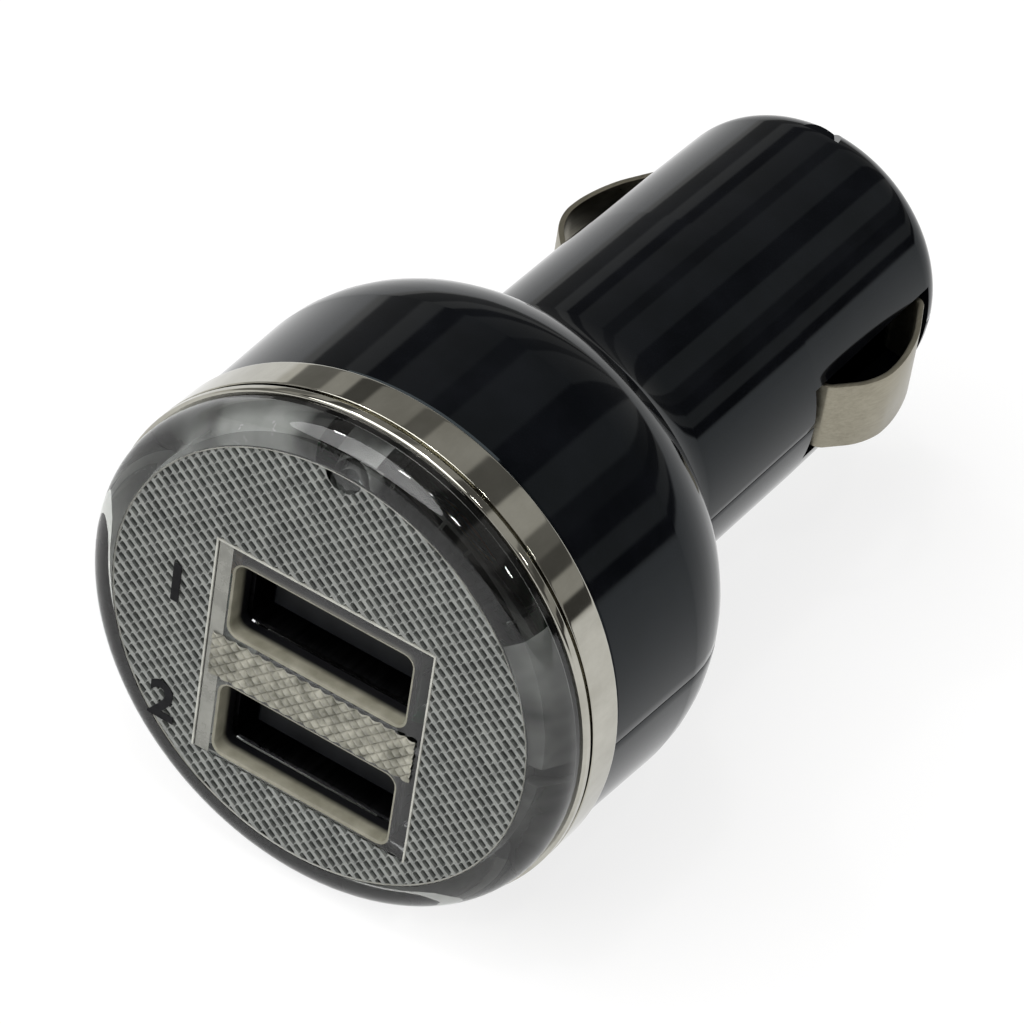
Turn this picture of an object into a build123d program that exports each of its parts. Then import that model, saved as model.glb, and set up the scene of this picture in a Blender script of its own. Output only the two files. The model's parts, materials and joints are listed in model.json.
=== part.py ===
from build123d import *
import os
from math import acos, cos, degrees, radians, sin

# Car socket USB charger: a shell in two halves, a clear face, a trim ring, sprung contacts and a board.
# Millimetres. The plug's axis is Y, the face looks to -Y and the straight barrel starts at the origin.

# Shell
barrel_r = 10.4
barrel_len = 27.0
grip_len = 13.0
nose_draft = 0.2
tail_edge_r = 3.0
tail_wall = 1.8
barrel_wall = 1.7
head_r = 17.6
head_draft = 0.25
head_len = 8.8
head_wall = 1.9
shoulder_r = 8.9
blend_r = 5.7
bore_lead = 1.9
front_chamfer = 0.35
notch_w = 3.0
notch_depth = 1.3
notch_setback = 0.4
rib_t = 1.2
rib_grip = 3.0
rib_setback = 2.4

# Trim ring and clear face
ring_proud = 0.3
ring_w = 3.7
bead_w = 0.7
bead_edge = 0.2
ring_groove_w = 0.2
ring_groove_depth = 0.35
ring_edge = 0.3
lens_inset = 0.25
lens_rise = 2.6
lens_edge_r = 1.8
lens_t = 1.9
skirt_t = 0.95
skirt_step = 1.1
skirt_grip = 3.4
snug = 0.1
key_w = 1.4
key_depth = 0.7
light_pipe_wall = 0.4
light_pipe_len = 2.4

# Window and USB sockets
ports_z = -3.0
port_pitch = 9.6
window_w = 15.9
window_h = 17.5
slot_w = 12.9
slot_h = 5.4
slot_edge_r = 0.7
collar_len = 0.9
usb_w = 12.5
usb_h = 5.12
usb_sheet = 0.3
usb_len = 13.6
usb_corner_r = 0.5
usb_gap = 0.3
tongue_w = 11.1
tongue_t = 1.84
tongue_drop = 0.96
tongue_back = 1.0
tongue_chamfer = 0.23
base_len = 3.8
pin_w = 1.0
pin_t = 0.2
pin_spread = (-3.5, -1.0, 1.0, 3.5)
leg_w = 1.6
leg_setbacks = (1.6, 6.4)

# Board and what stands on it
board_t = 1.6
board_w = 26.0
board_neck_w = 14.0
board_setback = 3.6
board_taper_end = 3.15
choke_r = 3.5
choke_h = 6.4
choke_hub_r = 2.0
choke_flange_t = 1.0
winding_inset = 0.25
in_can_r = 3.0
in_can_len = 6.4
out_can_r = 2.0
out_can_len = 6.0
can_edge = 0.4
chip_len = 4.9
chip_w = 3.9
chip_h = 1.5
chip_leads = 4
diode_len = 4.3
diode_w = 2.6
diode_h = 2.1
diode_chamfer = 0.35
small_len = 2.0
small_w = 1.25
resistor_h = 0.5
resistor_rows = 3
ceramic_h = 0.9
ceramic_rows = 2
small_pitch = 2.6
led_r = 1.0
led_len = 4.2
led_flange = 0.3
led_flange_t = 0.8
led_leg_t = 0.4
led_leg_pitch = 1.27
part_gap = 0.8

# Sprung contacts
strip_t = 0.4
strip_w = 5.0
strip_proud = 2.25
strip_len = 14.2
strip_foot = 1.2
strip_rise = 0.6
strip_ramp = 2.7
strip_crown = 4.6
strip_fall = 0.1
strip_bends = (0.6, 0.8, 4.5, 11.0, 0.8, 0.4)
strip_press = 2.7
play = 0.3
tip_r = 3.2
tip_out = 4.0
tip_flange_r = 4.6
tip_flange_t = 2.0
tip_nose_r = 1.8
tip_nose_len = 1.6
terminal_t = 0.6
terminal_w = 6.4
terminal_foot = 2.6
spring_r = 2.5
spring_wire_r = 0.35
spring_wire_sides = 6
spring_turns = 5
lead_t = 0.5
lead_w = 1.2

# Stations along the axis and heights worked out from the sizes above
shoulder_turn = acos(1 - (head_r - barrel_r) / (shoulder_r + blend_r))
shoulder_len = (shoulder_r + blend_r) * sin(shoulder_turn)
head_front_r = head_r - head_draft
shell_front_y = -shoulder_len - head_len
nose_r = barrel_r - nose_draft
tail_y = barrel_len + tail_edge_r
barrel_bore_r = barrel_r - barrel_wall
head_bore_r = head_front_r - head_wall
ring_r = head_front_r + ring_proud
ring_front_y = shell_front_y - ring_w
lens_r = ring_r - lens_inset
face_y = ring_front_y - lens_rise
lens_back_y = face_y + lens_t
skirt_r = lens_r - skirt_step
skirt_in_r = skirt_r - skirt_t
skirt_end_y = shell_front_y + skirt_grip
usb_front_y = lens_back_y + usb_gap
usb_back_y = usb_front_y + usb_len
tongue_front_y = usb_front_y + tongue_back
port_heights = {"upper": ports_z + port_pitch / 2, "lower": ports_z - port_pitch / 2}
board_top = ports_z + board_t / 2
board_bottom = ports_z - board_t / 2
board_front_y = lens_back_y + board_setback
strip_back_y = barrel_len + strip_foot - strip_t
strip_foot_y = strip_back_y - strip_len
strip_front_y = strip_foot_y - strip_foot
foot_x = barrel_bore_r - 2 * play - strip_t / 2
board_end_y = strip_front_y - strip_t - part_gap - terminal_t
terminal_y = board_end_y + terminal_t
in_can_back_y = board_end_y - terminal_foot - part_gap
choke_y = in_can_back_y - in_can_len - part_gap - choke_r
flange_y = tail_y - tail_wall - tip_flange_t
led_z = skirt_in_r - led_r - led_flange - play
diode_y = usb_back_y + part_gap
out_can_back_y = diode_y + diode_w + part_gap + out_can_len


def arc_to(centre, radius, start_deg, end_deg):
    # Middle and end of an arc about a centre, for turned()
    angles = (radians((start_deg + end_deg) / 2), radians(end_deg))
    return tuple((centre[0] + radius * cos(a), centre[1] + radius * sin(a)) for a in angles)


def turned(first, *steps):
    # Solid of revolution about Y; a step is the next (radius, y) or an arc's middle and end
    edges = []
    here = first
    for step in steps:
        if isinstance(step[0], tuple):
            edges.append(ThreePointArc(here, *step))
            here = step[1]
        else:
            edges.append(Line(here, step))
            here = step
    edges.append(Line(here, first))
    return revolve(make_face(edges), axis=Axis.Y)


def block(x, y, z):
    # Box between two limits on each axis
    size = [high - low for low, high in (x, y, z)]
    return Pos(*[(low + high) / 2 for low, high in (x, y, z)]) * Box(*size)


def rounded_block(width, height, corner, z, y):
    # Box along Y with rounded long edges, centred on x = 0
    section = Plane.XZ * RectangleRounded(width, height, corner)
    return Pos(0, y[1], z) * extrude(section, y[1] - y[0])


def bent_strip(path, thickness, z):
    # Sheet strip that follows a path in the XY plane, between two heights
    section = make_face(offset(path, thickness / 2, side=Side.BOTH))
    return Pos(0, 0, z[0]) * extrude(section, z[1] - z[0])


def both_sides(piece):
    return piece + mirror(piece, about=Plane.YZ)


def shell_outline(inset):
    # The shell's outer form, drawn in from its surface by inset
    turn = degrees(shoulder_turn)
    front_r = head_front_r - inset
    return turned(
        (0, shell_front_y),
        (front_r - front_chamfer, shell_front_y),
        (front_r, shell_front_y + front_chamfer),
        (head_r - inset, -shoulder_len),
        arc_to((head_r - shoulder_r, -shoulder_len), shoulder_r - inset, 0, turn),
        arc_to((barrel_r + blend_r, 0), blend_r + inset, 180 + turn, 180),
        (barrel_r - inset, grip_len),
        (nose_r - inset, barrel_len),
        arc_to((nose_r - tail_edge_r, barrel_len), tail_edge_r - inset, 0, 90),
        (0, tail_y - inset),
    )


def shell_cavity():
    rebate_r = skirt_r + snug
    return turned(
        (0, shell_front_y),
        (rebate_r, shell_front_y),
        (rebate_r, skirt_end_y + snug),
        (head_bore_r, skirt_end_y + snug),
        (head_bore_r, -shoulder_len),
        (barrel_bore_r, -bore_lead),
        (barrel_bore_r, tail_y - tail_wall),
        (tip_r + play, tail_y - tail_wall),
        (tip_r + play, tail_y),
        (0, tail_y),
    )


def upper_room():
    # Space that the upper half's ribs may use: its own side, and the bore below the seam
    bore = Rot(90, 0, 0) * Cylinder(head_bore_r - snug, 2 * tail_y)
    return bore + block((-head_r, head_r), (shell_front_y, tail_y), (0, head_r))


def tail_notch():
    # Pointed cut across the top of the tail's edge
    mouth = Polyline(
        (-notch_w / 2, nose_r), (notch_w / 2, nose_r), (0, nose_r - notch_depth), close=True)
    cut = extrude(Plane.XZ * make_face(mouth), -tail_edge_r)
    return Pos(0, barrel_len + notch_setback, 0) * cut


def shell_halves():
    reach = head_r
    window_z = strip_w / 2 + play
    window_y = (strip_foot_y - strip_t / 2 - play, strip_back_y - strip_foot + strip_t / 2 + play)
    window = block((foot_x - strip_t, reach), window_y, (-window_z, window_z))
    shell = shell_outline(0) - shell_cavity() - both_sides(window)

    rib_room = shell_outline(barrel_wall / 2)
    rib_y = (-shoulder_len - rib_t, -shoulder_len)
    rib_x = (board_w / 2 - rib_grip, reach)
    neck_y = (board_end_y - rib_setback - rib_t, board_end_y - rib_setback)
    neck_x = (board_neck_w / 2 - rib_grip, reach)
    pocket_y = (strip_foot_y, strip_back_y)
    pocket_x = (foot_x - strip_press, barrel_r)
    under_ribs = both_sides(
        block(rib_x, rib_y, (-reach, board_bottom))
        + block(neck_x, neck_y, (-reach, board_bottom))
        + block(pocket_x, pocket_y, (-window_z - rib_t, -window_z))
    )
    over_ribs = both_sides(
        block(rib_x, rib_y, (board_top, board_top + reach / 2))
        + block(pocket_x, pocket_y, (window_z, window_z + rib_t))
    )
    top = split(shell, bisect_by=Plane.XY, keep=Keep.TOP) + (over_ribs & rib_room & upper_room())
    bottom = split(shell, bisect_by=Plane.XY, keep=Keep.BOTTOM) + (under_ribs & rib_room)
    return top - tail_notch(), bottom


def trim_ring():
    # Plated ring: a narrow bead in front, a groove and a broad band, all with broken edges
    inner = skirt_r + snug
    groove_r = ring_r - ring_groove_depth
    bead_end_y = ring_front_y + bead_w
    band_y = bead_end_y + ring_groove_w
    return turned(
        (inner, ring_front_y),
        (ring_r - bead_edge, ring_front_y),
        (ring_r, ring_front_y + bead_edge),
        (ring_r, bead_end_y - bead_edge),
        (ring_r - bead_edge, bead_end_y),
        (groove_r, bead_end_y),
        (groove_r, band_y),
        (ring_r - ring_edge, band_y),
        (ring_r, band_y + ring_edge),
        (ring_r, shell_front_y - ring_edge),
        (ring_r - ring_edge, shell_front_y),
        (inner, shell_front_y),
    )


def lens_cover():
    body = turned(
        (0, face_y),
        (lens_r - lens_edge_r, face_y),
        arc_to((lens_r - lens_edge_r, face_y + lens_edge_r), lens_edge_r, -90, 0),
        (lens_r, ring_front_y),
        (skirt_r, ring_front_y),
        (skirt_r, skirt_end_y),
        (skirt_in_r, skirt_end_y),
        (skirt_in_r, lens_back_y),
        (0, lens_back_y),
    )
    collar_y = (lens_back_y, lens_back_y + collar_len)
    window_x = (-window_w / 2, window_w / 2)
    window_z = (ports_z - window_h / 2, ports_z + window_h / 2)
    key_x = (skirt_in_r - key_depth, skirt_in_r + skirt_t / 2)
    key = block(key_x, (lens_back_y, skirt_end_y), (-key_w / 2, key_w / 2))
    pipe_r = led_r + snug
    led_seat = Pos(0, lens_back_y, led_z)
    pipe = led_seat * extrude(Plane.XZ * Circle(pipe_r + light_pipe_wall), -light_pipe_len)
    body = body + block(window_x, collar_y, window_z) + both_sides(key) + pipe
    body -= led_seat * extrude(Plane.XZ * Circle(pipe_r), -light_pipe_len)
    room_w = usb_w + 2 * usb_sheet + 2 * snug
    room_h = usb_h + 2 * usb_sheet + 2 * snug
    for z in port_heights.values():
        body -= rounded_block(slot_w, slot_h, slot_edge_r, z, (face_y, collar_y[1]))
        body -= rounded_block(room_w, room_h, usb_corner_r, z, collar_y)
    return body


def usb_shell(side):
    z = port_heights[side]
    outside_w = usb_w + 2 * usb_sheet
    outside_h = usb_h + 2 * usb_sheet
    along = (usb_front_y, usb_back_y)
    body = rounded_block(outside_w, outside_h, usb_corner_r + usb_sheet, z, along)
    body -= rounded_block(usb_w, usb_h, usb_corner_r, z, along)
    leg_x = (outside_w / 2 - usb_sheet, outside_w / 2)
    leg_z = (board_top, z) if side == "upper" else (z, board_bottom)
    for setback in leg_setbacks:
        leg_y = usb_back_y - setback
        body += both_sides(block(leg_x, (leg_y - leg_w, leg_y), leg_z))
    return body


def usb_pins(side):
    # Four spring strips on the tongue, led back and bent to the board
    strip_z = port_heights[side] - tongue_drop + tongue_t / 2
    bend_y = (usb_back_y + pin_t, usb_back_y + 2 * pin_t)
    tail_z = (board_top, strip_z + pin_t) if side == "upper" else (strip_z, board_bottom)
    strips = Part()
    for x in pin_spread:
        across = (x - pin_w / 2, x + pin_w / 2)
        strips += block(across, (tongue_front_y + pin_w, bend_y[1]), (strip_z, strip_z + pin_t))
        strips += block(across, bend_y, tail_z)
    return strips


def usb_insulator(side):
    z = port_heights[side]
    base_y = (usb_back_y - base_len, usb_back_y - pin_t)
    tongue_z = z - tongue_drop
    tongue = block(
        (-tongue_w / 2, tongue_w / 2),
        (tongue_front_y, base_y[0]),
        (tongue_z - tongue_t / 2, tongue_z + tongue_t / 2),
    )
    tongue = chamfer(tongue.faces().sort_by(Axis.Y)[0].edges(), tongue_chamfer)
    base = rounded_block(usb_w, usb_h, usb_corner_r, z, base_y)
    return tongue + base - usb_pins(side)


def main_board():
    # Wide in the head, narrow in the barrel
    wide = board_w / 2
    neck = board_neck_w / 2
    right_edge = [
        (wide, board_front_y),
        (wide, -shoulder_len),
        (neck, -board_taper_end),
        (neck, board_end_y),
    ]
    left_edge = [(-x, y) for x, y in reversed(right_edge)]
    outline = Polyline(*right_edge, *left_edge, close=True)
    return Pos(0, 0, board_bottom) * extrude(make_face(outline), board_t)


def choke_core():
    standing = (Align.CENTER, Align.CENTER, Align.MIN)
    flange = Cylinder(choke_r, choke_flange_t, align=standing)
    core = Cylinder(choke_hub_r, choke_h, align=standing)
    core = core + flange + Pos(0, 0, choke_h - choke_flange_t) * flange
    return Pos(0, choke_y, board_top) * core


def choke_winding():
    height = choke_h - 2 * choke_flange_t
    ring = Cylinder(choke_r - winding_inset, height) - Cylinder(choke_hub_r, height)
    return Pos(0, choke_y, board_top + choke_h / 2) * ring


def can(radius, length, z, back_y):
    # Capacitor can lying along Y, its ends broken
    front_y = back_y - length
    body = turned(
        (0, front_y),
        (radius - can_edge, front_y),
        (radius, front_y + can_edge),
        (radius, back_y - can_edge),
        (radius - can_edge, back_y),
        (0, back_y),
    )
    return Pos(0, 0, z) * body


def converter_chip():
    back_y = board_end_y - part_gap
    under = board_bottom - chip_h
    chip = block((-chip_w / 2, chip_w / 2), (back_y - chip_len, back_y), (under, board_bottom - pin_t))
    pitch = chip_len / chip_leads
    lead_x = (chip_w / 2, chip_w / 2 + pin_w)
    lead_z = (board_bottom - 2 * pin_t, board_bottom)
    for row in range(chip_leads):
        y = back_y - (row + 0.5) * pitch
        chip += both_sides(block(lead_x, (y - pin_t, y + pin_t), lead_z))
    return chip


def rectifier_diode():
    body = block(
        (-diode_len / 2, diode_len / 2),
        (diode_y, diode_y + diode_w),
        (board_bottom - diode_h, board_bottom),
    )
    return chamfer(body.faces().sort_by(Axis.Z)[0].edges(), diode_chamfer)


def small_parts(height, x, count):
    # Row of chip parts on the board's wide end, both sides of the sockets
    row = Part()
    for index in range(count):
        y = board_front_y + small_w + index * small_pitch
        row += both_sides(block((x, x + small_len), (y, y + small_w), (board_top, board_top + height)))
    return row


def indicator_led():
    dome_y = lens_back_y + usb_gap
    back_y = dome_y + led_len
    flange_r = led_r + led_flange
    flange_front_y = back_y - led_flange_t
    body = turned(
        (0, dome_y),
        arc_to((0, dome_y + led_r), led_r, -90, 0),
        (led_r, flange_front_y),
        (flange_r, flange_front_y),
        (flange_r, back_y),
        (0, back_y),
    )
    led = Pos(0, 0, led_z) * body
    bend_y = usb_back_y + 2 * pin_t + play
    half = led_leg_t / 2
    for x in (-led_leg_pitch / 2, led_leg_pitch / 2):
        across = (x - half, x + half)
        led += block(across, (back_y, bend_y + led_leg_t), (led_z - half, led_z + half))
        led += block(across, (bend_y, bend_y + led_leg_t), (board_top, led_z + half))
    return led


def side_contact():
    # Bent strip on the +X side: foot, steep ramp, crown, long slope and back foot
    crown_x = barrel_r + strip_proud - strip_t / 2
    ramp_y = strip_foot_y + strip_rise
    crown_y = ramp_y + strip_ramp
    path = FilletPolyline(
        (foot_x, strip_front_y),
        (foot_x, strip_foot_y),
        (barrel_r - strip_t / 2, ramp_y),
        (crown_x, crown_y),
        (crown_x - strip_fall, crown_y + strip_crown),
        (barrel_r - strip_t, strip_back_y - strip_foot - strip_t),
        (foot_x, strip_back_y - strip_foot),
        (foot_x, strip_back_y - strip_t),
        radius=list(strip_bends),
    )
    return bent_strip(path, strip_t, (-strip_w / 2, strip_w / 2))


def tip_contact():
    # Round nosed pin with a flange behind the tail's wall and a nose that guides the coil
    dome_y = tail_y + tip_out - tip_r
    nose_y = flange_y - tip_nose_len
    return turned(
        (0, nose_y),
        (tip_nose_r, nose_y),
        (tip_nose_r, flange_y),
        (tip_flange_r, flange_y),
        (tip_flange_r, flange_y + tip_flange_t),
        (tip_r, flange_y + tip_flange_t),
        (tip_r, dome_y),
        arc_to((0, dome_y), tip_r, 0, 90),
    )


def tip_spring():
    # Open coil between the terminal's face and the tip's flange
    start_y = terminal_y + spring_wire_r
    height = flange_y - spring_wire_r - start_y
    coil = Helix(height / spring_turns, height, spring_r)
    wire = Plane(origin=coil @ 0, z_dir=coil % 0) * RegularPolygon(spring_wire_r, spring_wire_sides)
    return Pos(0, start_y, 0) * Rot(-90, 0, 0) * sweep(wire, path=coil, is_frenet=True)


def positive_terminal():
    # Folded tab: a foot soldered to the board and an upright face for the spring
    across = (-terminal_w / 2, terminal_w / 2)
    foot = block(across, (board_end_y - terminal_foot, terminal_y), (board_top, board_top + terminal_t))
    face = block(across, (board_end_y, terminal_y), (board_top, spring_r + 2 * spring_wire_r))
    return foot + face


def ground_leads():
    # Short straps that stand on the board and reach the front feet of the side strips
    pad_x = board_neck_w / 2 - lead_t
    pad_y = board_end_y - terminal_foot
    end_y = strip_front_y - strip_t / 2 - play
    path = Polyline((pad_x, pad_y), (pad_x, end_y - lead_w), (foot_x, end_y))
    strap = bent_strip(path, lead_t, (-lead_w / 2, lead_w / 2))
    post = block(
        (pad_x - lead_t / 2, pad_x + lead_t / 2), (pad_y, pad_y + lead_w), (board_top, lead_w / 2))
    return both_sides(strap + post)


upper_shell, lower_shell = shell_halves()
right_strip = side_contact()
resistor_x = usb_w / 2 + 2 * part_gap
ceramic_x = resistor_x + small_len + part_gap
pieces = {
    "lens_cover": lens_cover(),
    "trim_ring": trim_ring(),
    "upper_shell": upper_shell,
    "lower_shell": lower_shell,
    "main_board": main_board(),
    "choke_core": choke_core(),
    "choke_winding": choke_winding(),
    "input_capacitor": can(in_can_r, in_can_len, board_top + in_can_r, in_can_back_y),
    "output_capacitor": can(out_can_r, out_can_len, board_bottom - out_can_r, out_can_back_y),
    "converter_chip": converter_chip(),
    "rectifier_diode": rectifier_diode(),
    "chip_resistors": small_parts(resistor_h, resistor_x, resistor_rows),
    "chip_capacitors": small_parts(ceramic_h, ceramic_x, ceramic_rows),
    "indicator_led": indicator_led(),
    "side_contact_right": right_strip,
    "side_contact_left": mirror(right_strip, about=Plane.YZ),
    "tip_contact": tip_contact(),
    "tip_spring": tip_spring(),
    "positive_terminal": positive_terminal(),
    "ground_leads": ground_leads(),
}
for side in port_heights:
    pieces["usb_shell_" + side] = usb_shell(side)
    pieces["usb_insulator_" + side] = usb_insulator(side)
    pieces["usb_pins_" + side] = usb_pins(side)

os.makedirs("parts", exist_ok=True)
for name, piece in pieces.items():
    export_step(piece, f"parts/{name}.step")
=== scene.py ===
import json
from math import acos, atan2, ceil, cos, degrees, hypot, pi, radians, sin, sqrt, tan

import bmesh
import bpy
from mathutils import Matrix, Vector


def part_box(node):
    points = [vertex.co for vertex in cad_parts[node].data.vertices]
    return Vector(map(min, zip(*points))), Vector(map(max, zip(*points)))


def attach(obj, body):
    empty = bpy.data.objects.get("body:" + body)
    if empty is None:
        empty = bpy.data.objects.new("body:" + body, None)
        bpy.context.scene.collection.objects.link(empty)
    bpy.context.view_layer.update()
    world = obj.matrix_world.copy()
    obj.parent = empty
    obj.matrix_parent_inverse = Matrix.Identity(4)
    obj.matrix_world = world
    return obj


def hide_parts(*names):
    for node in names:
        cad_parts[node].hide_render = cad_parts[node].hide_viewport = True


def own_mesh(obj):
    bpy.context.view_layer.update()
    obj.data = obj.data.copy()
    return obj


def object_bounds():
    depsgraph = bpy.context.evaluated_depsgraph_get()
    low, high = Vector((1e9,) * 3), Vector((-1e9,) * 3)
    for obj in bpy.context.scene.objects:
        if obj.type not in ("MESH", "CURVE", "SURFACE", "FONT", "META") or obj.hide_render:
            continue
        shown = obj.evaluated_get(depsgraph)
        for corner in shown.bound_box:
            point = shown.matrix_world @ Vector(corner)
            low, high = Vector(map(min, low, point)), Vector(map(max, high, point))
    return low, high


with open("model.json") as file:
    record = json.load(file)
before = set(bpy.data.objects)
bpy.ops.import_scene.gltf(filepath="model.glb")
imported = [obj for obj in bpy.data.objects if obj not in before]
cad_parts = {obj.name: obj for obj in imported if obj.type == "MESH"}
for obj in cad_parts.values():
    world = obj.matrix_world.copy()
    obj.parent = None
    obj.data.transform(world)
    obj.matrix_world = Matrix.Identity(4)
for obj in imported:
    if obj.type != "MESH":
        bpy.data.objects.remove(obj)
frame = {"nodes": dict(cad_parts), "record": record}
cadLow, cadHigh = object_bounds()

mm = 0.001               # pieces are drawn in millimetres and scaled when they are finished
roundSteps = 144         # facets of a full turn
arcStep = 7.5            # degrees between the points of an arc
fewestSteps = 3          # on a short arc
cornerSteps = 5          # on a rounded corner
holdLoop = 0.12          # keeps a flat face flat beside an arc
shortRun = 4 * holdLoop  # a shorter line has no room for hold loops
mergeDist = 0.0005
sharpAngle = radians(32)
creaseAngle = radians(60)
square = 0.99            # share of a direction that counts as straight along an axis
overlap = 0.2            # how far joined forms run into each other
past = 1.0               # how far a cutter runs past the form it cuts
near = 0.02              # tolerance when faces are picked by place
print("frame loaded,", len(frame["nodes"]), "nodes")


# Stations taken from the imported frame, in millimetres

def nodeBox(node):
    low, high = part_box(node)
    return low / mm, high / mm


lensLow, lensHigh = nodeBox("lens_cover")
ringLow, ringHigh = nodeBox("trim_ring")
shellLow, shellHigh = nodeBox("upper_shell")
contactLow, contactHigh = nodeBox("side_contact_right")
usbLow, usbHigh = nodeBox("usb_insulator_upper")
ledLow, ledHigh = nodeBox("indicator_led")
tipLow, tipHigh = nodeBox("tip_contact")
springLow, springHigh = nodeBox("tip_spring")
barrel = next(m for m in frame["record"]["mounts"] if m["name"] == "plug_barrel")["dims"]
portBoxes = [nodeBox("usb_insulator_" + side) for side in ("upper", "lower")]
portHeights = [(low.z + high.z) / 2 for low, high in portBoxes]
portsZ = sum(portHeights) / 2


# Mesh helpers

def vertsOf(geom):
    return [g for g in geom if isinstance(g, bmesh.types.BMVert)]


def runTo(bm, tip, end):
    run = end - tip.co
    stops = [end]
    if run.length > shortRun:
        hold = run.normalized() * holdLoop
        stops = [tip.co + hold, end - hold, end]
    for stop in stops:
        tip = bmesh.ops.extrude_vert_indiv(bm, verts=[tip])["verts"][0]
        tip.co = stop
    return tip


def drawLine(bm, start, steps, closed=True):
    # A step is (x, y), or (centre x, centre y, degrees) for an arc
    first = tip = bm.verts.new((*start, 0))
    for step in steps:
        if len(step) == 2:
            tip = runTo(bm, tip, Vector((*step, 0)))
        else:
            count = max(fewestSteps, ceil(abs(step[2]) / arcStep))
            made = bmesh.ops.spin(bm, geom=[tip], cent=(step[0], step[1], 0), axis=(0, 0, 1),
                                  dvec=(0, 0, 0), angle=radians(step[2]), steps=count)
            tip = vertsOf(made["geom_last"])[0]
    if closed:
        bm.edges.new((tip, first))


def closeUp(bm):
    bmesh.ops.remove_doubles(bm, verts=bm.verts, dist=mergeDist)
    bmesh.ops.recalc_face_normals(bm, faces=bm.faces)


def turned(start, steps, closed=True, count=roundSteps):
    bm = bmesh.new()
    drawLine(bm, start, steps, closed)
    bmesh.ops.spin(bm, geom=bm.verts[:] + bm.edges[:], cent=(0, 0, 0), axis=(0, 1, 0), dvec=(0, 0, 0),
                   angle=2 * pi, steps=count, use_merge=True)
    closeUp(bm)
    return bm


def addBlock(bm, x, y, z, corner=0.0, turn=0.0):
    made = bmesh.ops.create_cube(bm, size=1)["verts"]
    bmesh.ops.scale(bm, vec=(x[1] - x[0], y[1] - y[0], z[1] - z[0]), verts=made)
    bmesh.ops.translate(bm, vec=(sum(x) / 2, sum(y) / 2, sum(z) / 2), verts=made)
    bmesh.ops.rotate(bm, cent=(0, 0, 0), matrix=Matrix.Rotation(turn, 3, "Y"), verts=made)
    if corner:
        alongY = [e for e in {e for v in made for e in v.link_edges}
                  if abs((e.verts[0].co - e.verts[1].co).normalized().y) > square]
        bmesh.ops.bevel(bm, geom=alongY, offset=corner, segments=cornerSteps, profile=0.5, affect="EDGES",
                        material=-1)


def addRod(bm, radius, y, z, segments=48):
    made = bmesh.ops.create_cone(bm, cap_ends=True, segments=segments, radius1=radius, radius2=radius,
                                 depth=y[1] - y[0], matrix=Matrix.Rotation(pi / 2, 4, "X"))["verts"]
    bmesh.ops.translate(bm, vec=(0, sum(y) / 2, z), verts=made)


def combine(bm, tool, operation):
    objects = []
    for name, part in (("target", bm), ("tool", tool)):
        mesh = bpy.data.meshes.new(name)
        part.to_mesh(mesh)
        part.free()
        objects.append(bpy.data.objects.new(name, mesh))
        bpy.context.scene.collection.objects.link(objects[-1])
    boolean = objects[0].modifiers.new("cut", "BOOLEAN")
    boolean.operation = operation
    boolean.solver = "EXACT"
    boolean.object = objects[1]
    depsgraph = bpy.context.evaluated_depsgraph_get()
    result = bpy.data.meshes.new_from_object(objects[0].evaluated_get(depsgraph))
    made = bmesh.new()
    made.from_mesh(result)
    bpy.data.meshes.remove(result)
    for item in objects:
        mesh = item.data
        bpy.data.objects.remove(item)
        bpy.data.meshes.remove(mesh)
    return made


def bevelEdges(bm, edges, width, segments=2):
    bmesh.ops.bevel(bm, geom=list(edges), offset=width, segments=segments, profile=0.5, affect="EDGES",
                    clamp_overlap=True, material=-1)


def finishPiece(name, bm, body, materials, stands=()):
    bmesh.ops.scale(bm, vec=(mm, mm, mm), verts=bm.verts)
    for face in bm.faces:
        face.smooth = True
    for edge in bm.edges:
        edge.smooth = edge.calc_face_angle(0) < sharpAngle
    mesh = bpy.data.meshes.new(name)
    bm.to_mesh(mesh)
    bm.free()
    for material in materials:
        mesh.materials.append(material)
    piece = bpy.data.objects.new(name, mesh)
    bpy.context.scene.collection.objects.link(piece)
    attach(piece, body)
    if stands:
        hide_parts(*stands)
    print("made", name, len(mesh.polygons), "faces")
    return piece


# Shader groups that several finishes share

floatSocket = "NodeSocketFloat"
skin = dict(fineRatio=14.0, fineShare=0.35)
drawn = dict(tarnishSize=420.0, tarnishShare=0.5)


def startGroup(name, inputs):
    tree = bpy.data.node_groups.new(name, "ShaderNodeTree")
    for label, kind, value in inputs:
        socket = tree.interface.new_socket(name=label, in_out="INPUT", socket_type=kind)
        if value is not None:
            socket.default_value = value
    for label in ("Value", "Mask", "Height"):
        tree.interface.new_socket(name=label, in_out="OUTPUT", socket_type=floatSocket)
    return tree, tree.nodes.new("NodeGroupInput").outputs, tree.nodes.new("NodeGroupOutput").inputs


def addNode(tree, kind, settings=(), values=(), links=()):
    node = tree.nodes.new(kind)
    for key, value in dict(settings).items():
        setattr(node, key, value)
    for key, value in dict(values).items():
        node.inputs[key].default_value = value
    for key, source in dict(links).items():
        tree.links.new(source, node.inputs[key])
    return node


def mixTones(tree, share, low, high):
    # Sockets 6 and 7 of a Mix node are its two colours, and 2 is what comes out
    node = addNode(tree, "ShaderNodeMix", {"data_type": "RGBA"}, links={0: share})
    for socket, tone in ((node.inputs[6], low), (node.inputs[7], high)):
        if isinstance(tone, bpy.types.NodeSocket):
            tree.links.new(tone, socket)
        else:
            socket.default_value = tone
    return node.outputs[2]


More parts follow.
